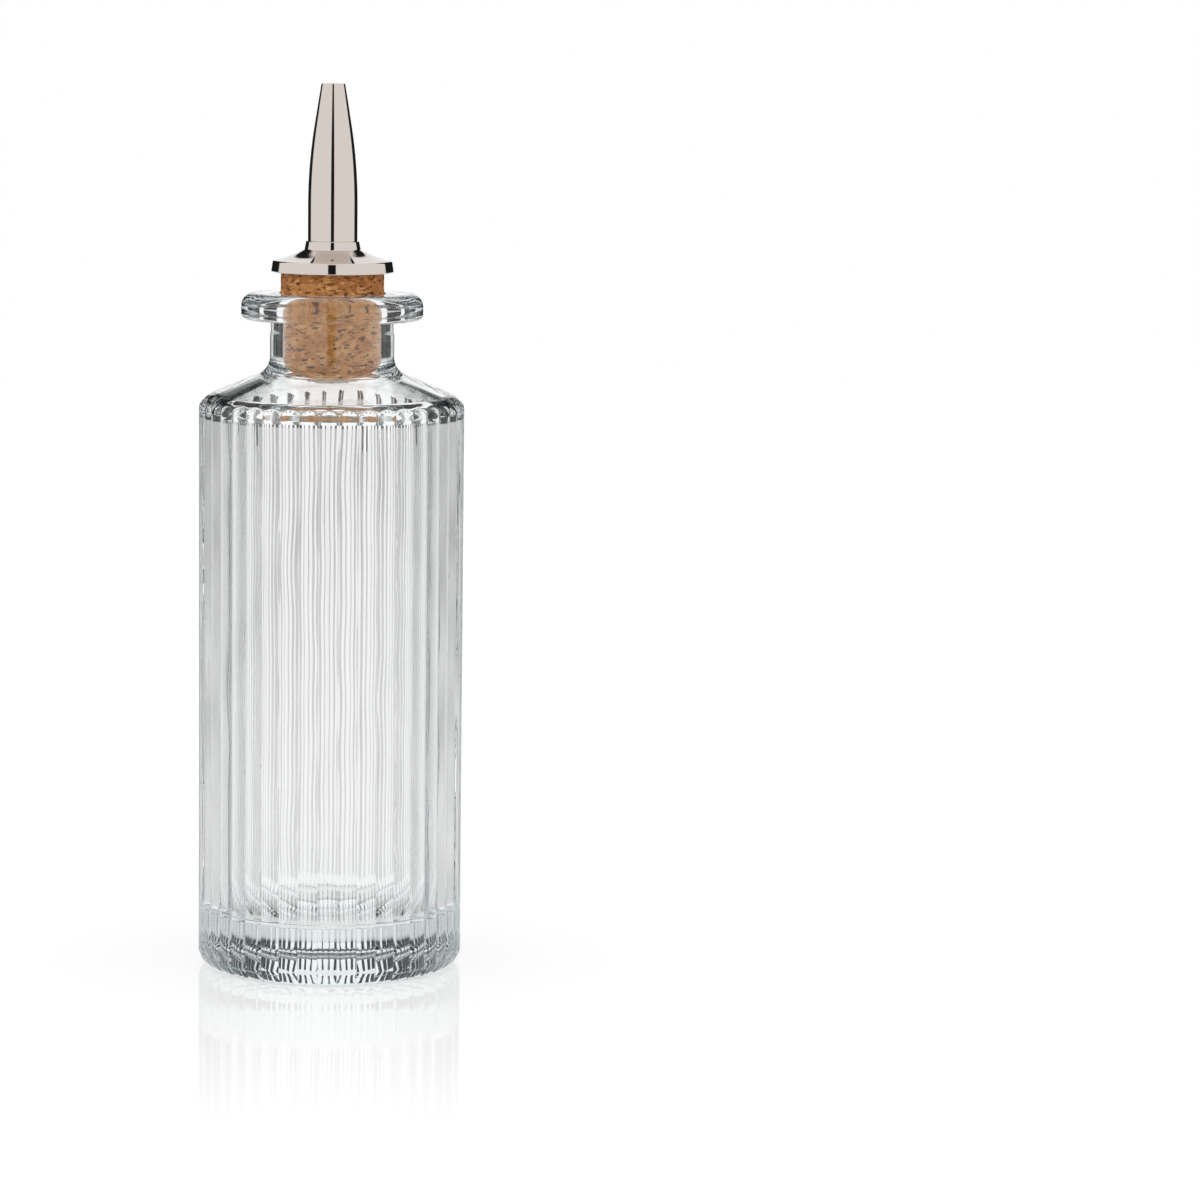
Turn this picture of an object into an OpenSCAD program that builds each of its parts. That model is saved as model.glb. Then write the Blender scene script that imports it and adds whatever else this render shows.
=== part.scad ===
// Bitters bottle: a ribbed clear glass bottle with a wide flat lip, a bored cork stopper, and a
// polished dasher spout whose stem runs down through the cork.
// The bottle stands on its base ring at z = 0, with its axis on Z.

/* [Glass body] */
// Diameter across the crests of the ribs
body_d = 56; // [48:0.5:64]
// Height of the outer edge of the shoulder, before it is rounded
shoulder_h = 121.3; // [95:0.5:150]
// Fall of the shoulder from the neck to its outer edge, in degrees
shoulder_slope = 22.6; // [12:0.5:35]
// Rounding of the shoulder's outer edge
shoulder_round = 3.2; // [2:0.1:5]
// Rounding of the foot of the body
foot_round = 4.2; // [2.5:0.1:5]
// Thickness of the glass from a rib crest to the inside of the body
wall_t = 3; // [2.2:0.1:4.5]
// Thickness of the glass under the shoulder
shoulder_t = 3; // [2.2:0.1:4.5]
// Thickness of the heavy base, up to the inner floor
base_t = 12; // [6:0.5:18]
// Rounding where the inner wall meets the inner floor
floor_round = 2.5; // [1:0.1:5]
// Rounding inside the edge of the shoulder
inner_shoulder_round = 6; // [3:0.5:9]
// Diameter of the hollow under the base
punt_d = 36; // [20:1:42]
// Depth of the hollow under the base
punt_h = 1.8; // [0.6:0.1:4]

/* [Ribs] */
// Number of ribs round the body
rib_count = 42; // [36:2:48]
// Radius of each rib's round back and of its domed top
rib_r = 2.5; // [2.2:0.1:2.8]
// How far the ribs stand out from the wall between them
rib_depth = 0.8; // [0.5:0.05:1.1]
// Distance from the shoulder's outer edge down to the centre of each domed rib top
rib_drop = 2.8; // [2.2:0.1:6]

/* [Neck and lip] */
// Outer diameter of the neck
neck_d = 26.2; // [24.5:0.1:30]
// Length of the neck from the shoulder to the lip
neck_h = 10.6; // [6:0.2:20]
// Rounding between the neck and the shoulder
neck_round = 4; // [1:0.5:6]
// How far the neck steps in where the neck ring's mould begins
neck_step = 0.15; // [0:0.05:0.4]
// Height of the bevel of that step
neck_step_h = 0.5; // [0.2:0.1:1]
// Distance from the lip down to the step
neck_step_drop = 2.9; // [1:0.1:4]
// Diameter of the lip
lip_d = 38.3; // [34:0.1:46]
// Thickness of the lip
lip_t = 5.7; // [4:0.1:8]
// Rounding of the upper edge of the lip
lip_round = 2.8; // [0.5:0.1:3]
// Rounding of the lower edge of the lip
lip_under_round = 1.2; // [0.3:0.1:2]
// Diameter of the straight bore of the neck
bore_d = 20.8; // [18:0.1:21.4]
// Depth of the flared mouth below the top of the lip
mouth_h = 2.5; // [1:0.1:4]
// Width of the small bevel round the mouth
mouth_bevel = 0.6; // [0.2:0.1:1.2]

/* [Cork] */
// Diameter of the cork above the mouth
cork_head_d = 21.7; // [21.5:0.05:22.8]
// Height of the cork that shows above the lip
cork_head_h = 5.65; // [3:0.1:10]
// Length of the cork below the top of the lip
cork_plug_h = 19.5; // [17:0.1:24]
// Width of the bevel round the cork's lower end
cork_bevel_w = 1.3; // [0.4:0.1:2]
// Height of the bevel round the cork's lower end
cork_bevel_h = 2.4; // [0.5:0.1:4]
// Bevel round the cork's upper end
cork_top_bevel = 0.5; // [0.2:0.1:1]

/* [Dasher] */
// Diameter of the collar's skirt at its lower edge
skirt_d = 25.8; // [24.8:0.1:30]
// Diameter of the collar where the skirt meets the sloping top
collar_top_d = 25.1; // [24.2:0.1:29]
// Wall of the skirt at its lower edge
skirt_wall = 0.8; // [0.5:0.1:1.1]
// How far the skirt hangs below the top of the cork
skirt_lap = 1.3; // [0.5:0.1:3]
// Thickness of the collar's web at its rim
collar_rim_t = 1; // [0.7:0.1:2]
// Rise of the collar's sloping top from the rim to the hub
collar_rise = 2.4; // [1:0.1:5]
// How far the middle of the sloping top hangs below a straight slope
collar_sag = 0.3; // [0:0.05:0.4]
// Diameter of the hub at its foot
hub_d = 11.8; // [11.4:0.1:14]
// Diameter of the hub's upper face
hub_top_d = 11.1; // [11:0.1:13]
// Height of the hub above the sloping top
hub_h = 1.75; // [1:0.05:4]
// Diameter of the lower, straight stretch of the spout
spout_d = 10.4; // [10:0.1:10.8]
// Diameter of the spout's tip
spout_tip_d = 5; // [4.2:0.1:7]
// Height of the spout above the hub
spout_h = 32.8; // [20:0.5:50]
// Height at which the spout's straight stretch and its cone would meet
spout_bend_h = 15.9; // [8:0.1:18]
// Radius of the long curve from the straight stretch to the cone
spout_curve_r = 107; // [20:1:120]
// Wall of the spout
spout_wall = 0.8; // [0.5:0.1:1]
// Outer diameter of the spigot that the spout stands in the hub with
spigot_d = 9.2; // [8.8:0.1:9.4]
// Inner diameter of the spigot
spigot_bore_d = 7.2; // [6.8:0.1:7.6]
// Outer diameter of the stem
stem_d = 6; // [5:0.1:6.4]
// Wall of the stem
stem_wall = 0.8; // [0.5:0.1:1]
// Thickness of the stem's flange, which the spigot holds down
stem_flange_t = 0.8; // [0.5:0.1:1.2]
// Height of the ledge under the stem's flange, above the underside of the web
flange_ledge_t = 1.4; // [0.8:0.1:1.6]
// Width of the stem's rolled lower rim
stem_rim_w = 0.6; // [0.3:0.1:1]
// Thickness of the stem's rolled lower rim
stem_rim_t = 0.4; // [0.3:0.1:0.8]
// Outer diameter of the ring that bears on the cork's lower end
eyelet_d = 10.4; // [8.6:0.1:13]
// Thickness of that ring
eyelet_t = 0.6; // [0.4:0.1:1]
// Diameter of the hole that meters the dashes
dash_hole_d = 2; // [1:0.1:2.6]
// Length of the metering bush
dash_insert_h = 2; // [1.2:0.1:2.6]

/* [Fits] */
// Radial clearance of the cork in the neck and of the stem in the cork
running_fit = 0.05; // [0.02:0.01:0.1]
// Radial clearance of pieces that are pressed or clamped together
press_gap = 0.02; // [0.01:0.01:0.05]
// Play between the cork and the metal above and below it
end_play = 0.05; // [0.02:0.01:0.2]

/* [Hidden] */

$fn = 96;
overshoot = 1;
arc_steps = 10;
cone_steps = 16;
sag_steps = 6;

body_r = body_d / 2;
core_r = body_r - rib_depth;
rib_axis_r = body_r - rib_r;
rib_top_z = shoulder_h - rib_drop;
neck_r = neck_d / 2;
neck_root_z = shoulder_h + (core_r - neck_r) * tan(shoulder_slope);
lip_z = neck_root_z + neck_h;
neck_step_z = lip_z - neck_step_drop;
mouth_z = lip_z + lip_t;
lip_r = lip_d / 2;

bore_r = bore_d / 2;
cork_head_r = cork_head_d / 2;
mouth_r = cork_head_r + running_fit;
cavity_r = body_r - wall_t;
shoulder_drop = shoulder_t / cos(shoulder_slope);
cavity_edge_z = shoulder_h + (core_r - cavity_r) * tan(shoulder_slope) - shoulder_drop;
bore_end_z = shoulder_h + (core_r - bore_r) * tan(shoulder_slope) - shoulder_drop;
bore_end_round = 1.5;
neck_lip_round = 0.5;

cork_plug_r = bore_r - running_fit;
cork_z = mouth_z - cork_plug_h;
cork_top_z = mouth_z + cork_head_h;
stem_r = stem_d / 2;
stem_bore_r = stem_r - stem_wall;
cork_hole_r = stem_r + running_fit;

web_z = cork_top_z + end_play;
skirt_z = cork_top_z - skirt_lap;
collar_rim_z = web_z + collar_rim_t;
hub_foot_z = collar_rim_z + collar_rise;
hub_z = hub_foot_z + hub_h;
skirt_bore_r = skirt_d / 2 - skirt_wall;
ledge_z = web_z + flange_ledge_t;
flange_top_z = ledge_z + stem_flange_t;
hub_bore_r = spigot_d / 2 + press_gap;
tip_z = hub_z + spout_h;
web_round = 0.3;
skirt_edge_round = 0.25;
collar_edge_round = 0.5;
hub_foot_round = 0.6;
hub_edge_round = 0.25;
collar_arc_steps = 6;

eyelet_z = cork_z - end_play - eyelet_t;
stem_z = eyelet_z - stem_rim_t;

// Unit vector along v
function along(v) = v / norm(v);

// Points of an arc of radius r that rounds the corner p between its neighbours a and b.
// The radius is cut back where an edge is too short for it.
function corner_arc(a, p, b, r, steps) =
    let (u = along(a - p), v = along(b - p),
         half = acos(u * v) / 2,
         reach = min(r / tan(half), norm(a - p) / 2, norm(b - p) / 2),
         radius = reach * tan(half),
         centre = p + along(u + v) * radius / sin(half),
         from = p + u * reach - centre, to = p + v * reach - centre,
         start = atan2(from[1], from[0]),
         turn = sign(from[0] * to[1] - from[1] * to[0]) * (180 - 2 * half))
    [for (i = [0:steps]) centre + radius * [cos(start + turn * i / steps), sin(start + turn * i / steps)]];

// An outline from corners [x, z] or [x, z, rounding radius]
function rounded(corners, steps = arc_steps) =
    let (count = len(corners))
    [for (i = [0:count - 1])
        let (c = corners[i], p = [c[0], c[1]],
             a = corners[(i + count - 1) % count], b = corners[(i + 1) % count])
        each (len(c) > 2 && c[2] > 0
            ? corner_arc([a[0], a[1]], p, [b[0], b[1]], c[2], steps)
            : [p])];

// Points between a and b on a curve whose middle hangs sag below the straight line
function sagging(a, b, sag, steps) =
    [for (i = [1:steps - 1])
        let (t = i / steps)
        a + (b - a) * t - [0, 4 * sag * t * (1 - t)]];

// A solid of revolution about Z from an outline of radius and height
module turned(corners, steps = arc_steps) {
    rotate_extrude() polygon(rounded(corners, steps));
}

// Body wall between the ribs, shoulder, neck and lip, as one solid form
module bottle_core() {
    turned([
        [0, 0],
        [core_r, 0],
        [core_r, shoulder_h, shoulder_round],
        [neck_r, neck_root_z, neck_round],
        [neck_r, neck_step_z - neck_step_h / 2],
        [neck_r - neck_step, neck_step_z + neck_step_h / 2],
        [neck_r - neck_step, lip_z, neck_lip_round],
        [lip_r, lip_z, lip_under_round],
        [lip_r, mouth_z, lip_round],
        [0, mouth_z]
    ]);
}

// Copies of a shape at the axis of each rib, the first one at the front
module at_each_rib() {
    for (i = [0:rib_count - 1])
        rotate(360 * i / rib_count - 90)
            translate([rib_axis_r, 0, 0]) children();
}

// Round-backed ribs with domed tops
module ribs() {
    linear_extrude(height = rib_top_z)
        at_each_rib() circle(r = rib_r, $fn = 48);
    at_each_rib()
        translate([0, 0, rib_top_z]) sphere(r = rib_r, $fn = 48);
}

// What the rounding of the foot takes away
module foot_cut() {
    foot_x = body_r + 0.2 - foot_round;
    outer_x = body_r + rib_r;
    rotate_extrude()
        polygon(concat(
            [[foot_x, -overshoot], [outer_x, -overshoot], [outer_x, foot_round], [foot_x + foot_round, foot_round]],
            [for (i = [1:arc_steps - 1])
                let (a = -90 * i / arc_steps)
                [foot_x + foot_round * cos(a), foot_round + foot_round * sin(a)]],
            [[foot_x, 0]]));
}

// Hollow inside the glass, up through the bore and the flared mouth
module cavity() {
    turned([
        [0, base_t],
        [cavity_r, base_t, floor_round],
        [cavity_r, cavity_edge_z, inner_shoulder_round],
        [bore_r, bore_end_z, bore_end_round],
        [bore_r, mouth_z - mouth_h],
        [mouth_r, mouth_z - mouth_bevel],
        [mouth_r + mouth_bevel, mouth_z],
        [mouth_r + mouth_bevel, mouth_z + overshoot],
        [0, mouth_z + overshoot]
    ]);
}

// Shallow dome under the base, which leaves a ring to stand on
module punt() {
    punt_r = punt_d / 2;
    dome_r = (punt_r * punt_r + punt_h * punt_h) / (2 * punt_h);
    translate([0, 0, punt_h - dome_r]) sphere(r = dome_r, $fn = 192);
}

module glass_bottle() {
    color([0.86, 0.90, 0.90, 0.5])
        difference() {
            union() {
                bottle_core();
                ribs();
            }
            foot_cut();
            cavity();
            punt();
        }
}

module cork_stopper() {
    color("peru")
        difference() {
            turned([
                [0, cork_z],
                [cork_plug_r - cork_bevel_w, cork_z],
                [cork_plug_r, cork_z + cork_bevel_h],
                [cork_plug_r, mouth_z - mouth_h],
                [cork_head_r, mouth_z - mouth_bevel],
                [cork_head_r, cork_top_z - cork_top_bevel],
                [cork_head_r - cork_top_bevel, cork_top_z],
                [0, cork_top_z]
            ]);
            translate([0, 0, cork_z - overshoot])
                cylinder(r = cork_hole_r, h = cork_top_z - cork_z + 2 * overshoot);
        }
}

// Sloping cap over the cork, with a skirt round it and a hub that takes the stem and the spout
module collar() {
    rim = [collar_top_d / 2, collar_rim_z];
    hub_foot = [hub_d / 2, hub_foot_z];
    color("silver")
        difference() {
            turned(concat(
                [[0, web_z],
                 [skirt_bore_r, web_z, web_round],
                 [skirt_bore_r, skirt_z],
                 [skirt_d / 2, skirt_z, skirt_edge_round],
                 concat(rim, collar_edge_round)],
                sagging(rim, hub_foot, collar_sag, sag_steps),
                [concat(hub_foot, hub_foot_round),
                 [hub_top_d / 2, hub_z, hub_edge_round],
                 [0, hub_z]]
            ), collar_arc_steps);
            translate([0, 0, web_z - overshoot])
                cylinder(r = stem_r + press_gap, h = flange_ledge_t + 2 * overshoot);
            translate([0, 0, ledge_z])
                cylinder(r = hub_bore_r, h = hub_z - ledge_z + overshoot);
        }
}

// Outline of the spout, drawn in from its outside by a wall thickness
module spout_form(inset, foot_z, top_z) {
    slope = (spout_d - spout_tip_d) / 2 / (spout_h - spout_bend_h);
    turned([
        [0, foot_z],
        [spout_d / 2 - inset, foot_z],
        [spout_d / 2 - inset, hub_z + spout_bend_h, spout_curve_r],
        [spout_tip_d / 2 - inset - slope * (top_z - tip_z), top_z],
        [0, top_z]
    ], cone_steps);
}

module spout() {
    color("gainsboro")
        difference() {
            union() {
                spout_form(0, hub_z, tip_z);
                translate([0, 0, flange_top_z])
                    cylinder(d = spigot_d, h = hub_z - flange_top_z + overshoot);
            }
            spout_form(spout_wall, hub_z + overshoot, tip_z + overshoot);
            translate([0, 0, flange_top_z - overshoot])
                cylinder(d = spigot_bore_d, h = hub_z - flange_top_z + 3 * overshoot);
        }
}

// Bush inside the spigot, whose small hole meters the dashes
module dash_insert() {
    bush_r = spigot_bore_d / 2 - press_gap;
    color("whitesmoke")
        difference() {
            translate([0, 0, flange_top_z]) cylinder(r = bush_r, h = dash_insert_h);
            translate([0, 0, flange_top_z - overshoot])
                cylinder(d = dash_hole_d, h = dash_insert_h + 2 * overshoot);
            translate([0, 0, flange_top_z])
                cylinder(r1 = stem_bore_r, r2 = dash_hole_d / 2, h = dash_insert_h / 2);
        }
}

// Tube through the cork, with a flange in the hub and a rim rolled over the ring below the cork
module stem_tube() {
    color("lightgray")
        difference() {
            union() {
                translate([0, 0, stem_z]) cylinder(r = stem_r, h = flange_top_z - stem_z);
                translate([0, 0, ledge_z]) cylinder(d = spigot_d, h = stem_flange_t);
                translate([0, 0, stem_z]) cylinder(r = stem_r + stem_rim_w, h = stem_rim_t);
            }
            translate([0, 0, stem_z - overshoot])
                cylinder(r = stem_bore_r, h = flange_top_z - stem_z + 2 * overshoot);
        }
}

// Ring that bears on the lower end of the cork
module stem_eyelet() {
    color("darkgray")
        translate([0, 0, eyelet_z])
            difference() {
                cylinder(d = eyelet_d, h = eyelet_t);
                translate([0, 0, -overshoot])
                    cylinder(r = stem_r + press_gap, h = eyelet_t + 2 * overshoot);
            }
}

glass_bottle();
cork_stopper();
collar();
spout();
dash_insert();
stem_tube();
stem_eyelet();
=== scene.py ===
# Looks of the bitters bottle: ribbed pressed glass, a ground cork and a polished steel dasher.
# Lengths are written in millimetres and turned to metres where a mesh is made.
import math

import bpy
import numpy as np
from mathutils import Matrix, Vector


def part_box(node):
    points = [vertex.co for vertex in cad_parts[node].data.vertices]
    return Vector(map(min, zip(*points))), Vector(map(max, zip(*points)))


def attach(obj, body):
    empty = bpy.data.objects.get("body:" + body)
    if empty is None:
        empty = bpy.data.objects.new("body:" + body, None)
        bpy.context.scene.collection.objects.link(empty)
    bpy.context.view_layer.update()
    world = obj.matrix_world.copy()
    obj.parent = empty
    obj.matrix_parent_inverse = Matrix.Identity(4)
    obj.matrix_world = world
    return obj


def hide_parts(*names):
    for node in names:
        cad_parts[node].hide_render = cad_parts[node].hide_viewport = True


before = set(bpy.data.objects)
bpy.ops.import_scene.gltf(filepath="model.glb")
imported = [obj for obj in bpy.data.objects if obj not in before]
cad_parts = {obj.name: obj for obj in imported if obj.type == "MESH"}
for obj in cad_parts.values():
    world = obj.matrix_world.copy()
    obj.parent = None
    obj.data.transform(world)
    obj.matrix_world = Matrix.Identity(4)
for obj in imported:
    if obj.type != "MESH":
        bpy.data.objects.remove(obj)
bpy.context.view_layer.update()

MM = 0.001
TURN = 2 * math.pi

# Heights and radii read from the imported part, in mm
glass_high = np.array(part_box("glass_bottle")[1]) / MM
cork_low, cork_high = (np.array(corner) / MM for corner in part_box("cork_stopper"))
collar_high = np.array(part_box("collar")[1]) / MM
spout_low, spout_high = (np.array(corner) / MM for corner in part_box("spout"))

CREST_R = glass_high[1]
MOUTH_Z = glass_high[2]


# Camera

PHOTO_SIDE = 1200
SENSOR_MM = 36
FOCAL_PX = 4340.9
CAMERA_DISTANCE = 915.0
CAMERA_HEIGHT = 203.1
CAMERA_AZIMUTH = math.radians(1.15)
CAMERA_YAW = math.radians(3.577)
CAMERA_PITCH = math.radians(7.743)
CAMERA_ROLL = math.radians(0.734)


def make_camera():
    """Camera at the photograph's distance and height, turned aside so that the bottle stands left of the middle."""
    heading = CAMERA_YAW - CAMERA_AZIMUTH
    ahead = Vector((
        math.sin(heading) * math.cos(CAMERA_PITCH),
        math.cos(heading) * math.cos(CAMERA_PITCH),
        -math.sin(CAMERA_PITCH),
    ))
    level_right = Vector((math.cos(heading), -math.sin(heading), 0))
    level_up = level_right.cross(ahead)
    right = math.cos(CAMERA_ROLL) * level_right + math.sin(CAMERA_ROLL) * level_up
    up = math.cos(CAMERA_ROLL) * level_up - math.sin(CAMERA_ROLL) * level_right
    place = MM * Vector((
        CAMERA_DISTANCE * math.sin(CAMERA_AZIMUTH),
        -CAMERA_DISTANCE * math.cos(CAMERA_AZIMUTH),
        CAMERA_HEIGHT,
    ))
    data = bpy.data.cameras.new("camera")
    data.sensor_width = SENSOR_MM
    data.lens = SENSOR_MM * FOCAL_PX / PHOTO_SIDE
    data.clip_start = 0.01
    data.clip_end = 50
    camera = bpy.data.objects.new("camera", data)
    camera.matrix_world = Matrix((
        (right.x, up.x, -ahead.x, place.x),
        (right.y, up.y, -ahead.y, place.y),
        (right.z, up.z, -ahead.z, place.z),
        (0, 0, 0, 1),
    ))
    bpy.context.scene.collection.objects.link(camera)
    bpy.context.scene.camera = camera


# Node helpers

def srgb(hex_colour):
    """The linear colour of an sRGB hex value such as #C07A45."""
    channels = (int(hex_colour[i:i + 2], 16) / 255 for i in (1, 3, 5))
    linear = (c / 12.92 if c <= 0.04045 else ((c + 0.055) / 1.055) ** 2.4 for c in channels)
    return (*linear, 1.0)


def new_material(name):
    """An empty node material, and its node tree."""
    material = bpy.data.materials.new(name)
    material.use_nodes = True
    material.node_tree.nodes.clear()
    return material, material.node_tree


def add_node(tree, kind, links=(), **settings):
    """Adds a node. A setting whose name is an input's goes to that input, and any other to the node itself.
    links are (input, source) pairs, where a source is an output socket."""
    node = tree.nodes.new(kind)
    for name, value in settings.items():
        if hasattr(node, name):
            setattr(node, name, value)
        else:
            node.inputs[name.replace("_", " ")].default_value = value
    for target, source in links:
        tree.links.new(source, node.inputs[target])
    return node


# Mesh helpers

def arc_of_corner(before, corner, after, radius, step):
    """Points of the arc of that radius that rounds a corner between its neighbours, about one for each step in
    degrees: a circle that touches both edges, with its centre on the line that halves the corner."""
    u = (before - corner) / np.linalg.norm(before - corner)
    v = (after - corner) / np.linalg.norm(after - corner)
    half = math.acos(np.clip(u @ v, -1, 1)) / 2
    reach = radius / math.tan(half)
    centre = corner + (u + v) / np.linalg.norm(u + v) * radius / math.sin(half)
    first = corner + u * reach - centre
    last = corner + v * reach - centre
    turn = math.atan2(first[0] * last[1] - first[1] * last[0], first @ last)
    count = max(3, math.ceil(abs(math.degrees(turn)) / step))
    angles = math.atan2(first[1], first[0]) + turn * np.linspace(0, 1, count + 1)
    return centre + radius * np.stack([np.cos(angles), np.sin(angles)], 1)


def outline(corners, step=7.0, longest=6.0):
    """An open outline of radius and height from corners (r, z) or (r, z, rounding radius). Round stretches get a
    point about every step degrees, and straight ones are split so that none is over longest mm."""
    points = [np.array(c[:2], float) for c in corners]
    line = [points[0][None]]
    for i in range(1, len(corners) - 1):
        if len(corners[i]) > 2:
            line.append(arc_of_corner(points[i - 1], points[i], points[i + 1], corners[i][2], step))
        else:
            line.append(points[i][None])
    line.append(points[-1][None])
    rough = np.concatenate(line)
    fine = [rough[:1]]
    for a, b in zip(rough[:-1], rough[1:]):
        parts = max(1, math.ceil(np.linalg.norm(b - a) / longest))
        fine.append(a + (b - a) * np.linspace(0, 1, parts + 1)[1:, None])
    return np.concatenate(fine)


def ring_points(line, angles):
    """Points of an outline turned about Z: rows follow the outline and columns the angles."""
    r, z = line[:, 0][:, None], line[:, 1][:, None]
    return np.stack([r * np.cos(angles), r * np.sin(angles), z + 0 * angles], 2)


def grid_faces(rows, columns, first=0):
    """Quads of a grid that closes round its columns. Rows that go round from outside to inside face outwards."""
    i = np.arange(rows - 1)[:, None] * columns
    j = np.arange(columns)[None]
    k = (j + 1) % columns
    return (first + np.stack([i + j, i + k, i + columns + k, i + columns + j], 2)).reshape(-1, 4)


def stitch_faces(first_a, columns_a, first_b, columns_b):
    """Polygons between a ring of many points and the next ring of a whole fraction as many."""
    share = columns_a // columns_b
    j = np.arange(columns_b)
    steps = [first_a + (j * share + s) % columns_a for s in range(share + 1)]
    return np.stack([*steps, first_b + (j + 1) % columns_b, first_b + j], 1)


def ring_solid_faces(rows, columns):
    """Quads of a ring-shaped solid: a grid that closes round its columns, and whose last row meets its first."""
    j = np.arange(columns)
    k = (j + 1) % columns
    last = (rows - 1) * columns
    return [grid_faces(rows, columns), np.stack([last + j, last + k, k, j], 1)]


def grid_normals(grid, closed_rows=False):
    """Unit normals of a grid that closes round its columns: the cross product of its two directions at each point.
    The longer of the two neighbouring edges counts most, so a flat stretch stays flat up to its rounded end."""
    steps = np.diff(grid, axis=0, append=grid[:1] if closed_rows else grid[-1:])
    before = np.roll(steps, 1, axis=0)
    if not closed_rows:
        before[0] = 0
    along = steps * np.linalg.norm(steps, axis=2)[:, :, None]
    along += before * np.linalg.norm(before, axis=2)[:, :, None]
    around = np.roll(grid, -1, axis=1) - np.roll(grid, 1, axis=1)
    normal = np.cross(around, along)
    return normal / np.linalg.norm(normal, axis=2)[:, :, None]


def mesh_piece(name, points, normals, faces, material, body, node):
    """A smooth piece from points in mm, their normals and lists of faces. It rides on a body, stands for a CAD node
    and takes the material it is given."""
    mesh = bpy.data.meshes.new(name)
    mesh.from_pydata((points * MM).tolist(), [], [face for group in faces for face in group.tolist()])
    mesh.polygons.foreach_set("use_smooth", np.ones(len(mesh.polygons), bool))
    mesh.materials.append(material)
    mesh.update()
    mesh.normals_split_custom_set_from_vertices(normals.tolist())
    piece = bpy.data.objects.new(name, mesh)
    bpy.context.scene.collection.objects.link(piece)
    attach(piece, body)
    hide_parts(node)
    return piece


# Glass bottle: radii, heights and roundings in mm

RIB_COUNT = 42
RIB_R = 4.2
RIB_DEPTH = 0.5
RIB_AXIS_R = CREST_R - RIB_R
CORE_R = CREST_R - RIB_DEPTH
SHOULDER_Z = 121.3
SHOULDER_SLOPE = math.tan(math.radians(22.6))
SHOULDER_ROUND = 3.2
RIB_TOP_Z = SHOULDER_Z - 1.7
VALLEY_ROUND = 0.06

FOOT_ROUND = 3.4
FOOT_TOP_Z = 8.0
PUNT_R = 18.0
PUNT_H = 1.8

NECK_R = 13.1
NECK_ROOT_Z = SHOULDER_Z + (CORE_R - NECK_R) * SHOULDER_SLOPE
LIP_Z = NECK_ROOT_Z + 10.6
LIP_R = 19.15
NECK_ROUND = 4.0
LIP_UNDER_ROUND = 1.2
LIP_ROUND = 2.8
NECK_STEP = 0.15
NECK_STEP_H = 0.5
NECK_STEP_Z = LIP_Z - 2.9

BORE_R = 10.4
MOUTH_R = 10.9
MOUTH_H = 2.5
MOUTH_ROUND = 1.6
CAVITY_R = 25.0
FLOOR_Z = 12.0
SHOULDER_T = 3.0
INNER_NECK_ROUND = 1.5
INNER_SHOULDER_ROUND = 3.0
FLOOR_ROUND = 2.5

COLUMNS_PER_RIB = 12
BODY_COLUMNS = RIB_COUNT * COLUMNS_PER_RIB
FINE_COLUMNS = BODY_COLUMNS // 2
FRONT = -math.pi / 2


def rib_angles():
    """Angles round the body, crowded towards the valleys between the ribs, where the surface bends most."""
    t = np.linspace(-1, 1, COLUMNS_PER_RIB + 1)[:-1]
    within = np.sin(t * math.pi / 2) / 2
    return FRONT + (TURN / RIB_COUNT) * (np.arange(RIB_COUNT)[:, None] + within).ravel()


def soft_top(height, softness):
    """The larger of a height and nothing, with a rounded change between the two."""
    return (height + np.sqrt(height ** 2 + softness ** 2)) / 2


def rib_height(angles, beyond):
    """How far the ribs stand out from the wall: round backs that end in round domes.
    A rib is a cylinder along the wall, closed with a sphere of the same radius. beyond is the length along the wall
    past the sphere's centre, and angles are measured round the bottle."""
    off = (angles - FRONT) * RIB_COUNT / TURN
    off = (off - np.round(off)) * TURN / RIB_COUNT
    across = RIB_AXIS_R * np.sin(off)
    round_back = RIB_R ** 2 - across ** 2 - np.maximum(beyond, 0) ** 2
    return soft_top(
        RIB_AXIS_R * np.cos(off) + np.sqrt(np.maximum(round_back, 0)) - CORE_R,
        VALLEY_ROUND,
    )


def outward(line):
    """Unit vectors square to an outline, to its right as it is followed."""
    along = np.gradient(line, axis=0)
    along /= np.linalg.norm(along, axis=1)[:, None]
    return np.stack([along[:, 1], -along[:, 0]], 1)


def ribbed_wall():
    """Foot, body wall and shoulder edge, with the ribs raised square to the wall."""
    foot = outline([
        (PUNT_R, 0), (CORE_R, 0, FOOT_ROUND), (CORE_R, FOOT_TOP_Z),
    ], step=8, longest=2)
    wall = outline([(CORE_R, FOOT_TOP_Z), (CORE_R, RIB_TOP_Z - 2)], longest=6)
    slope_end = CORE_R - 4
    edge = outline([
        (CORE_R, RIB_TOP_Z - 2), (CORE_R, SHOULDER_Z, SHOULDER_ROUND),
        (slope_end, SHOULDER_Z + (CORE_R - slope_end) * SHOULDER_SLOPE),
    ], step=4, longest=0.24)
    line = np.concatenate([foot, wall[1:], edge[1:]])
    lengths = np.concatenate([[0], np.cumsum(np.linalg.norm(np.diff(line, axis=0), axis=1))])
    # The length along the line at which the ribs' domes start. Heights still rise there, just past the wall's end.
    upright = slice(len(foot), len(foot) + len(wall) + 5)
    top_length = np.interp(RIB_TOP_Z, line[upright, 1], lengths[upright])
    normal = outward(line)
    angles = rib_angles()
    rise = rib_height(angles[None], (lengths - top_length)[:, None])
    # Round the foot the ribs run out as the surface turns under
    share = np.clip(normal[:, 0], 0, 1) ** 2
    rise = rise * np.where(line[:, 1] < FOOT_ROUND, share, 1)[:, None]
    rise = np.where(rise > 0.003, rise, 0)
    r = line[:, 0][:, None] + rise * normal[:, 0][:, None]
    z = line[:, 1][:, None] + rise * normal[:, 1][:, None]
    return np.stack([r * np.cos(angles), r * np.sin(angles), z], 2), line[-1]


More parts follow.
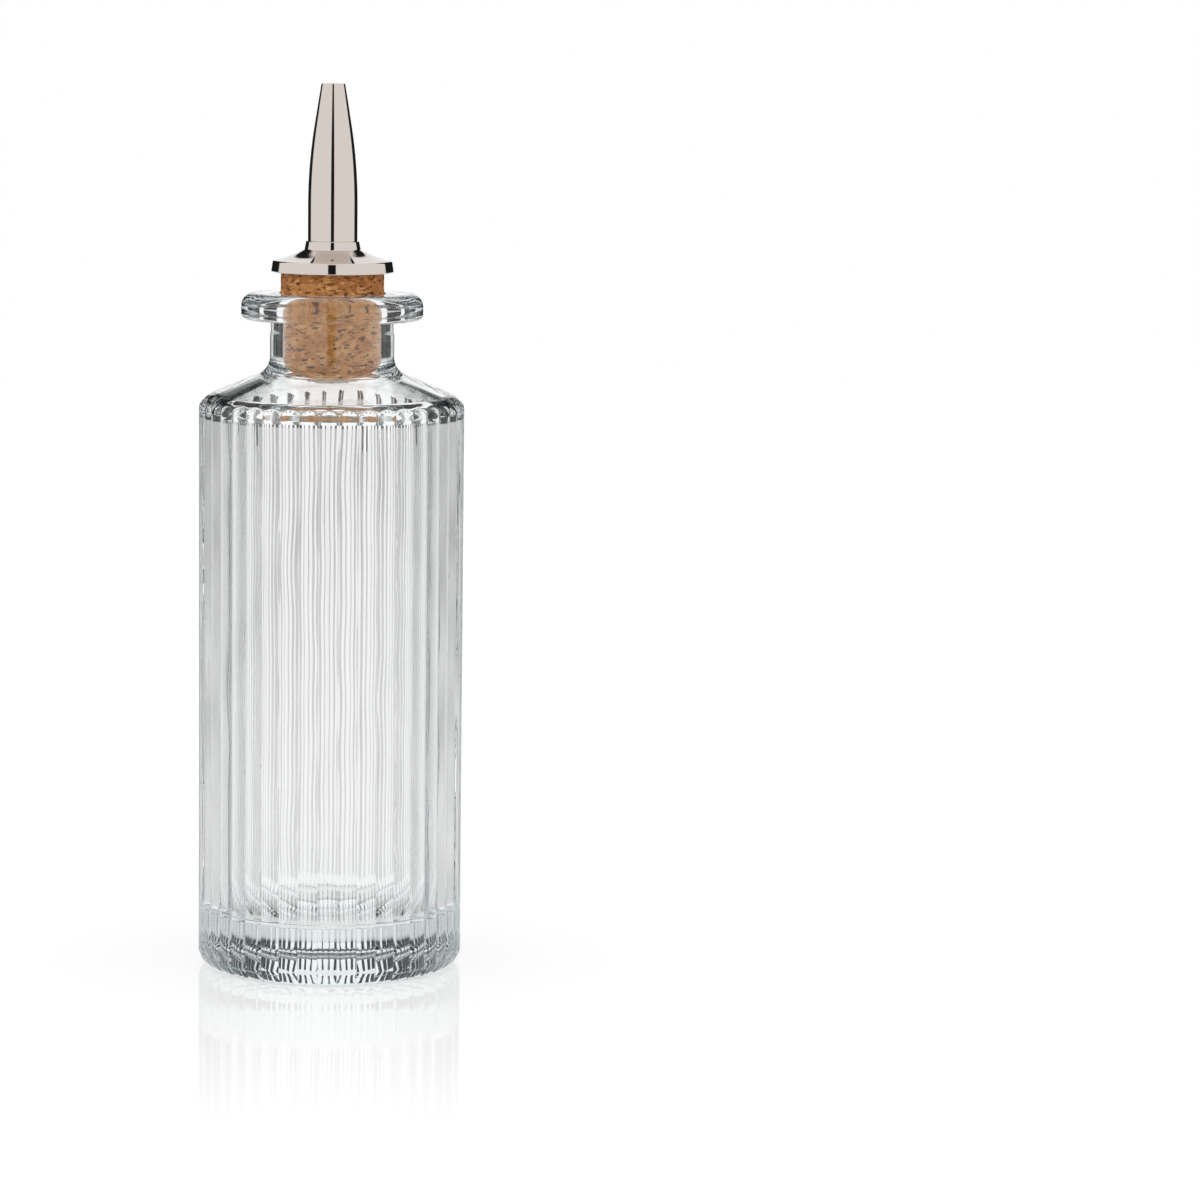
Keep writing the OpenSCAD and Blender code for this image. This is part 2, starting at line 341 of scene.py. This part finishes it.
def inner_wave(angles, heights):
    """Slow waves of the blown inner wall, in mm: a few cosines round the bottle and along it, added up."""
    waves = (
        (0.10, 3, 0.4, 70, 1.1),
        (0.07, 5, 2.0, 43, 0.3),
        (0.05, 8, 4.1, 29, 2.6),
        (0.03, 13, 1.3, 19, 5.2),
    )
    total = 0
    for size, turns, shift, length, start in waves:
        total = total + size * np.cos(turns * angles + shift) * np.cos(TURN * heights / length + start)
    return total


def glass_bottle(material):
    """One closed skin: underside, ribbed wall, neck, lip and mouth, then down the bore and round the inside."""
    wall, slope_start = ribbed_wall()
    fine_angles = rib_angles()[::2]

    dome_r = (PUNT_R ** 2 + PUNT_H ** 2) / (2 * PUNT_H)
    punt_r = np.linspace(0, PUNT_R, 14)[1:-1]
    punt = np.stack([punt_r, PUNT_H - dome_r + np.sqrt(dome_r ** 2 - punt_r ** 2)], 1)

    neck = outline([
        tuple(slope_start),
        (NECK_R, NECK_ROOT_Z, NECK_ROUND),
        (NECK_R, NECK_STEP_Z - NECK_STEP_H / 2),
        (NECK_R - NECK_STEP, NECK_STEP_Z + NECK_STEP_H / 2),
        (NECK_R - NECK_STEP, LIP_Z, 0.5),
        (LIP_R, LIP_Z, LIP_UNDER_ROUND),
        (LIP_R, MOUTH_Z, LIP_ROUND),
        (MOUTH_R, MOUTH_Z, MOUTH_ROUND),
        (BORE_R, MOUTH_Z - MOUTH_H),
        (BORE_R, MOUTH_Z - 4),
    ], step=9, longest=3)[1:]

    drop = SHOULDER_T * math.sqrt(1 + SHOULDER_SLOPE ** 2)
    edge_z = SHOULDER_Z + (CORE_R - CAVITY_R) * SHOULDER_SLOPE - drop
    bore_end_z = SHOULDER_Z + (CORE_R - BORE_R) * SHOULDER_SLOPE - drop
    inside = outline([
        (BORE_R, MOUTH_Z - 4),
        (BORE_R, bore_end_z, INNER_NECK_ROUND),
        (CAVITY_R, edge_z, INNER_SHOULDER_ROUND),
        (CAVITY_R, FLOOR_Z, FLOOR_ROUND),
        (0.6, FLOOR_Z),
    ], step=6, longest=2)[1:]

    inside_points = ring_points(inside, fine_angles)
    # The waves fade out 8 mm from the bore and 10 mm from the floor
    blown = np.clip((inside[:, 0] - BORE_R) / 8, 0, 1) * np.clip((inside[:, 1] - FLOOR_Z) / 10, 0, 1)
    swell = 1 + inner_wave(fine_angles[None], inside[:, 1][:, None]) * blown[:, None] / CAVITY_R
    inside_points[:, :, :2] *= swell[:, :, None]

    punt_points = ring_points(punt, fine_angles)
    upper_points = np.concatenate([ring_points(neck, fine_angles), inside_points])

    grids = [punt_points, wall, upper_points]
    firsts = np.cumsum([0] + [grid.shape[0] * grid.shape[1] for grid in grids])
    poles = np.array([[0, 0, PUNT_H], [0, 0, FLOOR_Z]])
    points = np.concatenate([*(grid.reshape(-1, 3) for grid in grids), poles])
    normals = np.concatenate([
        *(grid_normals(grid).reshape(-1, 3) for grid in grids),
        [[0, 0, -1], [0, 0, 1]],
    ])
    under_centre, floor_centre = len(points) - 2, len(points) - 1

    j = np.arange(FINE_COLUMNS)
    k = (j + 1) % FINE_COLUMNS
    last_punt = firsts[1] - FINE_COLUMNS
    last_wall = firsts[2] - BODY_COLUMNS
    last_inside = firsts[3] - FINE_COLUMNS
    under_join = stitch_faces(firsts[1], BODY_COLUMNS, last_punt, FINE_COLUMNS)[:, ::-1]
    faces = [
        np.stack([np.full(FINE_COLUMNS, under_centre), k, j], 1),
        grid_faces(punt.shape[0], FINE_COLUMNS),
        under_join,
        grid_faces(wall.shape[0], BODY_COLUMNS, firsts[1]),
        stitch_faces(last_wall, BODY_COLUMNS, firsts[2], FINE_COLUMNS),
        grid_faces(neck.shape[0] + inside.shape[0], FINE_COLUMNS, firsts[2]),
        np.stack([last_inside + j, last_inside + k, np.full(FINE_COLUMNS, floor_centre)], 1),
    ]
    return mesh_piece("glass", points, normals, faces, material, "bottle", "glass_bottle")


def clear_glass():
    """Soda-lime flint glass, pressed and blown, then fire polished: mirror smooth and clear, with a cool tint that
    only shows where the light passes through a lot of it."""
    material, tree = new_material("clear_soda_lime_glass")
    shader = add_node(tree, "ShaderNodeBsdfPrincipled",
                      Base_Color=(1, 1, 1, 1), Roughness=0.0, IOR=1.52, Transmission_Weight=1.0)
    tint = add_node(tree, "ShaderNodeVolumeAbsorption", Color=srgb("#E9F4F6"), Density=14.0)
    add_node(tree, "ShaderNodeOutputMaterial",
             [("Surface", shader.outputs["BSDF"]), ("Volume", tint.outputs["Volume"])])
    return material


# Cork

CORK_CLEARANCE = 0.05
CORK_BEVEL_W = 1.3
CORK_BEVEL_H = 2.4
STEM_R = 3.0


def pits(angles, heights):
    """Depth in mm of the torn cells in the sanded cork. Steep cosines that run askew round the cork and along it
    are multiplied, so only their shared peaks leave a short shallow pit."""
    one = np.cos(23 * angles + 1.9 * heights + 1.7 * np.sin(0.8 * heights))
    two = np.cos(31 * angles - 2.6 * heights + 1.3 * np.sin(5 * angles))
    three = np.cos(9 * angles + 0.7 * heights + 2.0)
    return 0.09 * np.clip(one * two - 0.45, 0, 1) * (0.6 + 0.4 * three)


def cork_stopper(material):
    """The cork's outline turned about Z, with the bored hole. Small pits are pressed into it, never out of it."""
    plug_r = BORE_R - CORK_CLEARANCE
    head_r = MOUTH_R - CORK_CLEARANCE
    hole_r = STEM_R + CORK_CLEARANCE
    low, top = cork_low[2], cork_high[2]
    line = outline([
        (hole_r, low), (plug_r - CORK_BEVEL_W, low, 0.4), (plug_r, low + CORK_BEVEL_H, 3),
        (plug_r, MOUTH_Z - MOUTH_H), (head_r, MOUTH_Z - 0.6),
        (head_r, top - 0.5, 0.3), (head_r - 0.5, top, 0.2), (hole_r, top), (hole_r, low),
    ], step=12, longest=0.3)[:-1]
    angles = TURN * np.arange(384) / 384
    grid = ring_points(line, angles)
    # Only the outer side is pitted, which starts half a millimetre inside the plug's lower edge
    outer = np.clip(line[:, 0] - (plug_r - CORK_BEVEL_W - 0.5), 0, 1)[:, None]
    depth = pits(angles[None], line[:, 1][:, None]) * outer
    grid[:, :, :2] *= (1 - depth / np.maximum(line[:, 0], 1)[:, None])[:, :, None]
    normals = grid_normals(grid, closed_rows=True).reshape(-1, 3)
    return mesh_piece("cork", grid.reshape(-1, 3), normals, ring_solid_faces(len(line), len(angles)), material,
                      "stopper", "cork_stopper")


def agglomerated_cork():
    """Ground cork pressed with binder, then cut and sanded: granules of about 1.5 mm in orange browns, each with its
    own tone, dark bark flecks and fine curled chips between them, and a dry surface with no shine. The plug is
    lighter than the head."""
    material, tree = new_material("agglomerated_cork")
    place = add_node(tree, "ShaderNodeTexCoord").outputs["Object"]
    drift = add_node(tree, "ShaderNodeTexNoise", [("Vector", place)], Scale=900.0, Detail=3.0)
    bent = add_node(tree, "ShaderNodeVectorMath", [(0, drift.outputs["Color"])], operation="SCALE")
    bent.inputs["Scale"].default_value = 0.0009
    curled = add_node(tree, "ShaderNodeVectorMath", [(0, place), (1, bent.outputs["Vector"])], operation="ADD")
    granules = add_node(tree, "ShaderNodeTexVoronoi", [("Vector", curled.outputs["Vector"])], Scale=620.0)
    seams = add_node(tree, "ShaderNodeTexVoronoi", [("Vector", curled.outputs["Vector"])],
                     Scale=620.0, feature="DISTANCE_TO_EDGE")
    stretched = add_node(tree, "ShaderNodeMapping", [("Vector", curled.outputs["Vector"])])
    stretched.inputs["Rotation"].default_value = (0.5, 0.3, 0.6)
    stretched.inputs["Scale"].default_value = (0.6, 0.6, 1.8)
    flecks = add_node(tree, "ShaderNodeTexNoise", [("Vector", stretched.outputs["Vector"])], Scale=1100.0, Detail=2.0)

    tone = add_node(tree, "ShaderNodeSeparateColor", [("Color", granules.outputs["Color"])])
    head = add_node(tree, "ShaderNodeValToRGB", [("Fac", tone.outputs["Red"])])
    plug = add_node(tree, "ShaderNodeValToRGB", [("Fac", tone.outputs["Red"])])
    for ramp, colours in ((head, ("#A2622F", "#BD7A40", "#DB9C5C")), (plug, ("#D68B47", "#ECA45C", "#FBC07C"))):
        ramp.color_ramp.elements.new(0.5)
        for element, colour in zip(ramp.color_ramp.elements, colours):
            element.color = srgb(colour)
    height = add_node(tree, "ShaderNodeSeparateXYZ", [("Vector", place)])
    upper = add_node(tree, "ShaderNodeMapRange", [("Value", height.outputs["Z"])])
    upper.inputs["From Min"].default_value = (MOUTH_Z - 2) * MM
    upper.inputs["From Max"].default_value = MOUTH_Z * MM
    body = add_node(tree, "ShaderNodeMix", [("Factor", upper.outputs["Result"])], data_type="RGBA")
    tree.links.new(plug.outputs["Color"], body.inputs[6])
    tree.links.new(head.outputs["Color"], body.inputs[7])

    def darker(base, value, start, end, colour, most):
        """Mixes a colour in where a value falls from start to end, up to a largest share."""
        share = add_node(tree, "ShaderNodeMapRange", [("Value", value)], interpolation_type="SMOOTHSTEP")
        share.inputs["From Min"].default_value = start
        share.inputs["From Max"].default_value = end
        share.inputs["To Max"].default_value = most
        mixed = add_node(tree, "ShaderNodeMix", [("Factor", share.outputs["Result"]), (6, base)], data_type="RGBA")
        mixed.inputs[7].default_value = srgb(colour)
        return mixed.outputs[2]

    seamed = darker(body.outputs[2], seams.outputs["Distance"], 0.07, 0.0, "#7A4420", 0.3)
    flecked = darker(seamed, flecks.outputs["Fac"], 0.43, 0.36, "#4A2510", 0.9)
    chipped = darker(flecked, flecks.outputs["Fac"], 0.60, 0.70, "#F6CF98", 0.6)
    rough_height = add_node(tree, "ShaderNodeMath", [(0, seams.outputs["Distance"]), (1, flecks.outputs["Fac"])],
                            operation="ADD")
    bump = add_node(tree, "ShaderNodeBump", [("Height", rough_height.outputs[0])], Strength=0.6, Distance=0.00012)
    shader = add_node(tree, "ShaderNodeBsdfPrincipled", [("Base Color", chipped), ("Normal", bump.outputs["Normal"])],
                      Roughness=0.82, IOR=1.45)
    add_node(tree, "ShaderNodeOutputMaterial", [("Surface", shader.outputs["BSDF"])])
    return material


# Metal: radii, heights and walls in mm

def turned_piece(name, line, material, node, columns=192):
    """A closed solid of revolution of the dasher, from a closed outline that never meets the axis."""
    angles = TURN * np.arange(columns) / columns
    grid = ring_points(line, angles)
    normals = grid_normals(grid, closed_rows=True).reshape(-1, 3)
    return mesh_piece(name, grid.reshape(-1, 3), normals, ring_solid_faces(len(line), columns), material,
                      "dasher", node)


SPOUT_R = 5.2
SPOUT_TIP_R = 2.5
SPOUT_H = 32.8
SPOUT_BEND_H = 15.9
SPOUT_CURVE_R = 107.0
SPOUT_WALL = 0.8
SPIGOT_R = 4.6
SPIGOT_BORE_R = 3.6

COLLAR_BORE_R = 3.02
HUB_BORE_R = 4.62
SKIRT_INNER_R = 12.1
SKIRT_R = 12.9
COLLAR_TOP_R = 12.55
COLLAR_RIM_T = 1.0
COLLAR_RISE = 2.4
COLLAR_SAG = 0.3
SKIRT_LAP = 1.3
HUB_R = 5.9
HUB_TOP_R = 5.55
FLANGE_LEDGE_T = 1.4


def spout(material):
    """A straight stretch that bends in one long curve to a cone, with its wall and the spigot in the hub."""
    low, tip = spout_low[2], spout_high[2]
    foot = tip - SPOUT_H
    bend = foot + SPOUT_BEND_H
    inner_r, inner_tip_r = SPOUT_R - SPOUT_WALL, SPOUT_TIP_R - SPOUT_WALL
    outer = outline([(SPOUT_R, foot), (SPOUT_R, bend, SPOUT_CURVE_R), (SPOUT_TIP_R, tip)], step=0.6, longest=3)
    inner = outline([(inner_tip_r, tip), (inner_r, bend, SPOUT_CURVE_R), (inner_r, foot + 1)], step=1, longest=3)
    # The edges at the foot and the tip are broken by a few hundredths of a millimetre
    line = np.concatenate([
        [(SPIGOT_BORE_R, low), (SPIGOT_R, low), (SPIGOT_R, foot - 0.02)],
        [(SPOUT_R - 0.05, foot - 0.02), (SPOUT_R, foot + 0.03)],
        outer[1:-1],
        [(SPOUT_TIP_R, tip - 0.1), (SPOUT_TIP_R - 0.02, tip - 0.03), (SPOUT_TIP_R - 0.1, tip)],
        [(inner_tip_r + 0.1, tip), (inner_tip_r + 0.02, tip - 0.03)],
        inner[1:],
        [(SPIGOT_BORE_R, foot)],
    ])
    return turned_piece("spout_shell", line, material, "spout")


def collar(material):
    """Sloping top that sags a little between the rim and the hub, with a short flared skirt. The sag is a parabola."""
    web = cork_high[2] + CORK_CLEARANCE
    skirt, rim, hub = cork_high[2] - SKIRT_LAP, web + COLLAR_RIM_T, collar_high[2]
    foot = rim + COLLAR_RISE
    t = np.linspace(0, 1, 13)[1:-1]
    dip = 4 * COLLAR_SAG * t * (1 - t)
    dish = zip(COLLAR_TOP_R + (HUB_R - COLLAR_TOP_R) * t, rim + (foot - rim) * t - dip)
    line = outline([
        (COLLAR_BORE_R, web), (SKIRT_INNER_R, web, 0.3), (SKIRT_INNER_R, skirt), (SKIRT_R, skirt, 0.2),
        (COLLAR_TOP_R, rim, 0.4), *dish, (HUB_R, foot, 0.2), (HUB_TOP_R, hub, 0.2), (HUB_BORE_R, hub),
        (HUB_BORE_R, web + FLANGE_LEDGE_T), (COLLAR_BORE_R, web + FLANGE_LEDGE_T), (COLLAR_BORE_R, web),
    ], step=8, longest=1)[:-1]
    return turned_piece("collar_cap", line, material, "collar")


def steel(name, colour, roughness, spread, groove):
    """Stainless steel turned on a lathe. Rings a few hundredths of a millimetre apart, drawn at 0.1 mm so that they
    show, change the roughness by spread and the surface by groove, in metres."""
    material, tree = new_material(name)
    place = add_node(tree, "ShaderNodeTexCoord").outputs["Object"]
    rings = add_node(tree, "ShaderNodeMapping", [("Vector", place)])
    rings.inputs["Scale"].default_value = (0.02, 0.02, 1)
    lines = add_node(tree, "ShaderNodeTexNoise", [("Vector", rings.outputs["Vector"])], Scale=10000.0, Detail=2.0)
    specks = add_node(tree, "ShaderNodeTexNoise", [("Vector", place)], Scale=700.0, Detail=3.0)
    both = add_node(tree, "ShaderNodeMath", [(0, lines.outputs["Fac"]), (1, specks.outputs["Fac"])],
                    operation="MULTIPLY")
    gloss = add_node(tree, "ShaderNodeMapRange", [("Value", both.outputs[0])])
    gloss.inputs["To Min"].default_value = roughness - spread
    gloss.inputs["To Max"].default_value = roughness + 2 * spread
    bump = add_node(tree, "ShaderNodeBump", [("Height", lines.outputs["Fac"])], Strength=1.0, Distance=groove)
    shader = add_node(tree, "ShaderNodeBsdfPrincipled",
                      [("Roughness", gloss.outputs["Result"]), ("Normal", bump.outputs["Normal"])],
                      Base_Color=srgb(colour), Metallic=1.0)
    add_node(tree, "ShaderNodeOutputMaterial", [("Surface", shader.outputs["BSDF"])])
    return material


def polished_steel():
    """Stainless steel, turned and mirror polished: the studio shows in it as sharp light and dark bands with a
    slightly warm cast."""
    return steel("polished_stainless_steel", "#D4CBC4", 0.05, 0.02, 0.0000001)


def drawn_steel():
    """Stainless steel as drawn and blanked, not polished: a dull grey with soft streaks and no clear reflection."""
    return steel("drawn_stainless_steel", "#B4B2AE", 0.34, 0.06, 0.000004)


def moulded_polyethylene():
    """Natural polyethylene, injection moulded: milky white, waxy, with a faint unevenness from the mould."""
    material, tree = new_material("moulded_natural_polyethylene")
    place = add_node(tree, "ShaderNodeTexCoord").outputs["Object"]
    cloud = add_node(tree, "ShaderNodeTexNoise", [("Vector", place)], Scale=1500.0, Detail=2.0)
    gloss = add_node(tree, "ShaderNodeMapRange", [("Value", cloud.outputs["Fac"])])
    gloss.inputs["To Min"].default_value = 0.38
    gloss.inputs["To Max"].default_value = 0.52
    bump = add_node(tree, "ShaderNodeBump", [("Height", cloud.outputs["Fac"])], Strength=0.3, Distance=0.00002)
    shader = add_node(tree, "ShaderNodeBsdfPrincipled",
                      [("Roughness", gloss.outputs["Result"]), ("Normal", bump.outputs["Normal"])],
                      Base_Color=srgb("#F2F2EE"), IOR=1.51, Subsurface_Weight=0.15, Subsurface_Scale=0.0006)
    add_node(tree, "ShaderNodeOutputMaterial", [("Surface", shader.outputs["BSDF"])])
    return material


def finish_node(node, material):
    """Gives a CAD node that is kept as it is the material of its real finish."""
    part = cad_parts[node]
    if not part.material_slots:
        part.data.materials.append(material)
    for slot in part.material_slots:
        slot.material = material


# Stage

# Directions in degrees from the one straight behind the object, where the dark gaps start and end
SIDE_GAP_STARTS = (9, 11)
SIDE_GAP_ENDS = (56, 61)
CAMERA_GAP_STARTS = (172, 173)
# The gaps fade out between these two heights above the horizon, in degrees
GAP_TOP = (35, 45)
GAP_COLOUR = "#202224"


def studio_world():
    """White studio round the object: white behind, large white sides, dark gaps between them and at the camera.
    The gaps are directions, measured from the one straight behind the object."""
    world = bpy.data.worlds.new("studio")
    bpy.context.scene.world = world
    world.use_nodes = True
    tree = world.node_tree
    tree.nodes.clear()
    coordinates = add_node(tree, "ShaderNodeTexCoord")
    parts = add_node(tree, "ShaderNodeSeparateXYZ", [("Vector", coordinates.outputs["Generated"])])
    across = add_node(tree, "ShaderNodeMath", [(0, parts.outputs["X"])], operation="ABSOLUTE")
    angle = add_node(tree, "ShaderNodeMath", [(0, across.outputs[0]), (1, parts.outputs["Y"])], operation="ARCTAN2")

    def rising(start, end):
        """Rises from 0 to 1 between two directions."""
        node = add_node(tree, "ShaderNodeMapRange", [("Value", angle.outputs[0])],
                        interpolation_type="SMOOTHSTEP")
        node.inputs["From Min"].default_value = math.radians(start)
        node.inputs["From Max"].default_value = math.radians(end)
        return node.outputs["Result"]

    gap = add_node(tree, "ShaderNodeMath", [(0, rising(*SIDE_GAP_STARTS)), (1, rising(*SIDE_GAP_ENDS))],
                   operation="SUBTRACT")
    both = add_node(tree, "ShaderNodeMath", [(0, gap.outputs[0]), (1, rising(*CAMERA_GAP_STARTS))],
                    operation="ADD")
    low = add_node(tree, "ShaderNodeMapRange", [("Value", parts.outputs["Z"])], interpolation_type="SMOOTHSTEP")
    low.inputs["From Min"].default_value = math.sin(math.radians(GAP_TOP[1]))
    low.inputs["From Max"].default_value = math.sin(math.radians(GAP_TOP[0]))
    dark = add_node(tree, "ShaderNodeMath", [(0, both.outputs[0]), (1, low.outputs["Result"])],
                    operation="MULTIPLY")
    path = add_node(tree, "ShaderNodeLightPath")
    seen = add_node(tree, "ShaderNodeMath", [(1, path.outputs["Is Camera Ray"])], operation="SUBTRACT")
    seen.inputs[0].default_value = 1
    shade = add_node(tree, "ShaderNodeMath", [(0, dark.outputs[0]), (1, seen.outputs[0])], operation="MULTIPLY")
    colour = add_node(tree, "ShaderNodeMix", [("Factor", shade.outputs[0])], data_type="RGBA")
    colour.inputs[6].default_value = (1, 1, 1, 1)
    colour.inputs[7].default_value = srgb(GAP_COLOUR)
    background = add_node(tree, "ShaderNodeBackground", [("Color", colour.outputs[2])], Strength=1.0)
    add_node(tree, "ShaderNodeOutputWorld", [("Surface", background.outputs["Background"])])


FLOOR_R = 1400.0
FLOOR_COLUMNS = 96
# Share of the studio's light that the floor takes, so that it keeps the object's shadow
FLOOR_KEPT = 0.35
# The mirror image is strongest at the foot and gone at the farther distance from the axis, in mm
MIRROR_FROM = 26.0
MIRROR_TO = 185.0
MIRROR_SHARE = 0.3


def studio_floor():
    """White gloss table: a round disc. The camera sees it white, less the object's soft shadow and its mirror image,
    which fades with the distance from the object. Glass and metal see it as a plain glossy white top."""
    angles = TURN * np.arange(FLOOR_COLUMNS) / FLOOR_COLUMNS
    rim = ring_points(np.array([[FLOOR_R, 0]]), angles).reshape(-1, 3)
    mesh = bpy.data.meshes.new("floor")
    mesh.from_pydata((rim * MM).tolist(), [], [list(range(FLOOR_COLUMNS))])
    mesh.update()
    floor = bpy.data.objects.new("floor", mesh)
    bpy.context.scene.collection.objects.link(floor)
    material, tree = new_material("white_gloss_table")
    path = add_node(tree, "ShaderNodeLightPath")
    shadowed = add_node(tree, "ShaderNodeBsdfDiffuse", Color=(FLOOR_KEPT, FLOOR_KEPT, FLOOR_KEPT, 1))
    mirror = add_node(tree, "ShaderNodeBsdfGlossy", Roughness=0.12)
    sharp = add_node(tree, "ShaderNodeBsdfGlossy", Roughness=0.05)
    plain = add_node(tree, "ShaderNodeBsdfDiffuse", Color=(0.85, 0.85, 0.85, 1))
    below = add_node(tree, "ShaderNodeBsdfTransparent")

    # What the camera sees: the glow lifts the lit floor to white, and the mirror image lies near the object
    glow = add_node(tree, "ShaderNodeEmission", Color=(1, 1, 1, 1), Strength=1 - FLOOR_KEPT * 0.6)
    white = add_node(tree, "ShaderNodeAddShader", [(0, shadowed.outputs[0]), (1, glow.outputs[0])])
    place = add_node(tree, "ShaderNodeTexCoord").outputs["Object"]
    distance = add_node(tree, "ShaderNodeVectorMath", [(0, place)], operation="LENGTH")
    fade = add_node(tree, "ShaderNodeMapRange", [("Value", distance.outputs["Value"])])
    fade.inputs["From Min"].default_value = MIRROR_FROM * MM
    fade.inputs["From Max"].default_value = MIRROR_TO * MM
    fade.inputs["To Min"].default_value = MIRROR_SHARE
    fade.inputs["To Max"].default_value = 0
    seen = add_node(tree, "ShaderNodeMixShader",
                    [(0, fade.outputs["Result"]), (1, white.outputs[0]), (2, sharp.outputs[0])])

    # What glass and metal see
    lit = add_node(tree, "ShaderNodeEmission", Color=(1, 1, 1, 1), Strength=1 - FLOOR_KEPT * 0.88)
    top = add_node(tree, "ShaderNodeAddShader", [(0, shadowed.outputs[0]), (1, lit.outputs[0])])
    fresnel = add_node(tree, "ShaderNodeFresnel", IOR=1.4)
    glossy = add_node(tree, "ShaderNodeMixShader",
                      [(0, fresnel.outputs[0]), (1, top.outputs[0]), (2, mirror.outputs[0])])

    through = add_node(tree, "ShaderNodeMath",
                       [(0, path.outputs["Is Glossy Ray"]), (1, path.outputs["Is Transmission Ray"])],
                       operation="MAXIMUM")
    object_light = add_node(tree, "ShaderNodeMixShader",
                            [(0, through.outputs[0]), (1, plain.outputs[0]), (2, glossy.outputs[0])])
    above = add_node(tree, "ShaderNodeMixShader",
                     [(0, path.outputs["Is Camera Ray"]), (1, object_light.outputs[0]), (2, seen.outputs[0])])
    backing = add_node(tree, "ShaderNodeNewGeometry")
    surface = add_node(tree, "ShaderNodeMixShader",
                       [(0, backing.outputs["Backfacing"]), (1, above.outputs[0]), (2, below.outputs[0])])
    add_node(tree, "ShaderNodeOutputMaterial", [("Surface", surface.outputs[0])])
    mesh.materials.append(material)


# The scene: glass needs many bounces, because light crosses up to eight of its surfaces and turns back inside it

scene = bpy.context.scene
scene.view_settings.view_transform = "Standard"
scene.cycles.max_bounces = 32
scene.cycles.transmission_bounces = 32
scene.cycles.glossy_bounces = 8
make_camera()
studio_world()
studio_floor()
glass_bottle(clear_glass())
cork_stopper(agglomerated_cork())
mirror_steel = polished_steel()
spout(mirror_steel)
collar(mirror_steel)
dull_steel = drawn_steel()
finish_node("stem_tube", dull_steel)
finish_node("stem_eyelet", dull_steel)
finish_node("dash_insert", moulded_polyethylene())
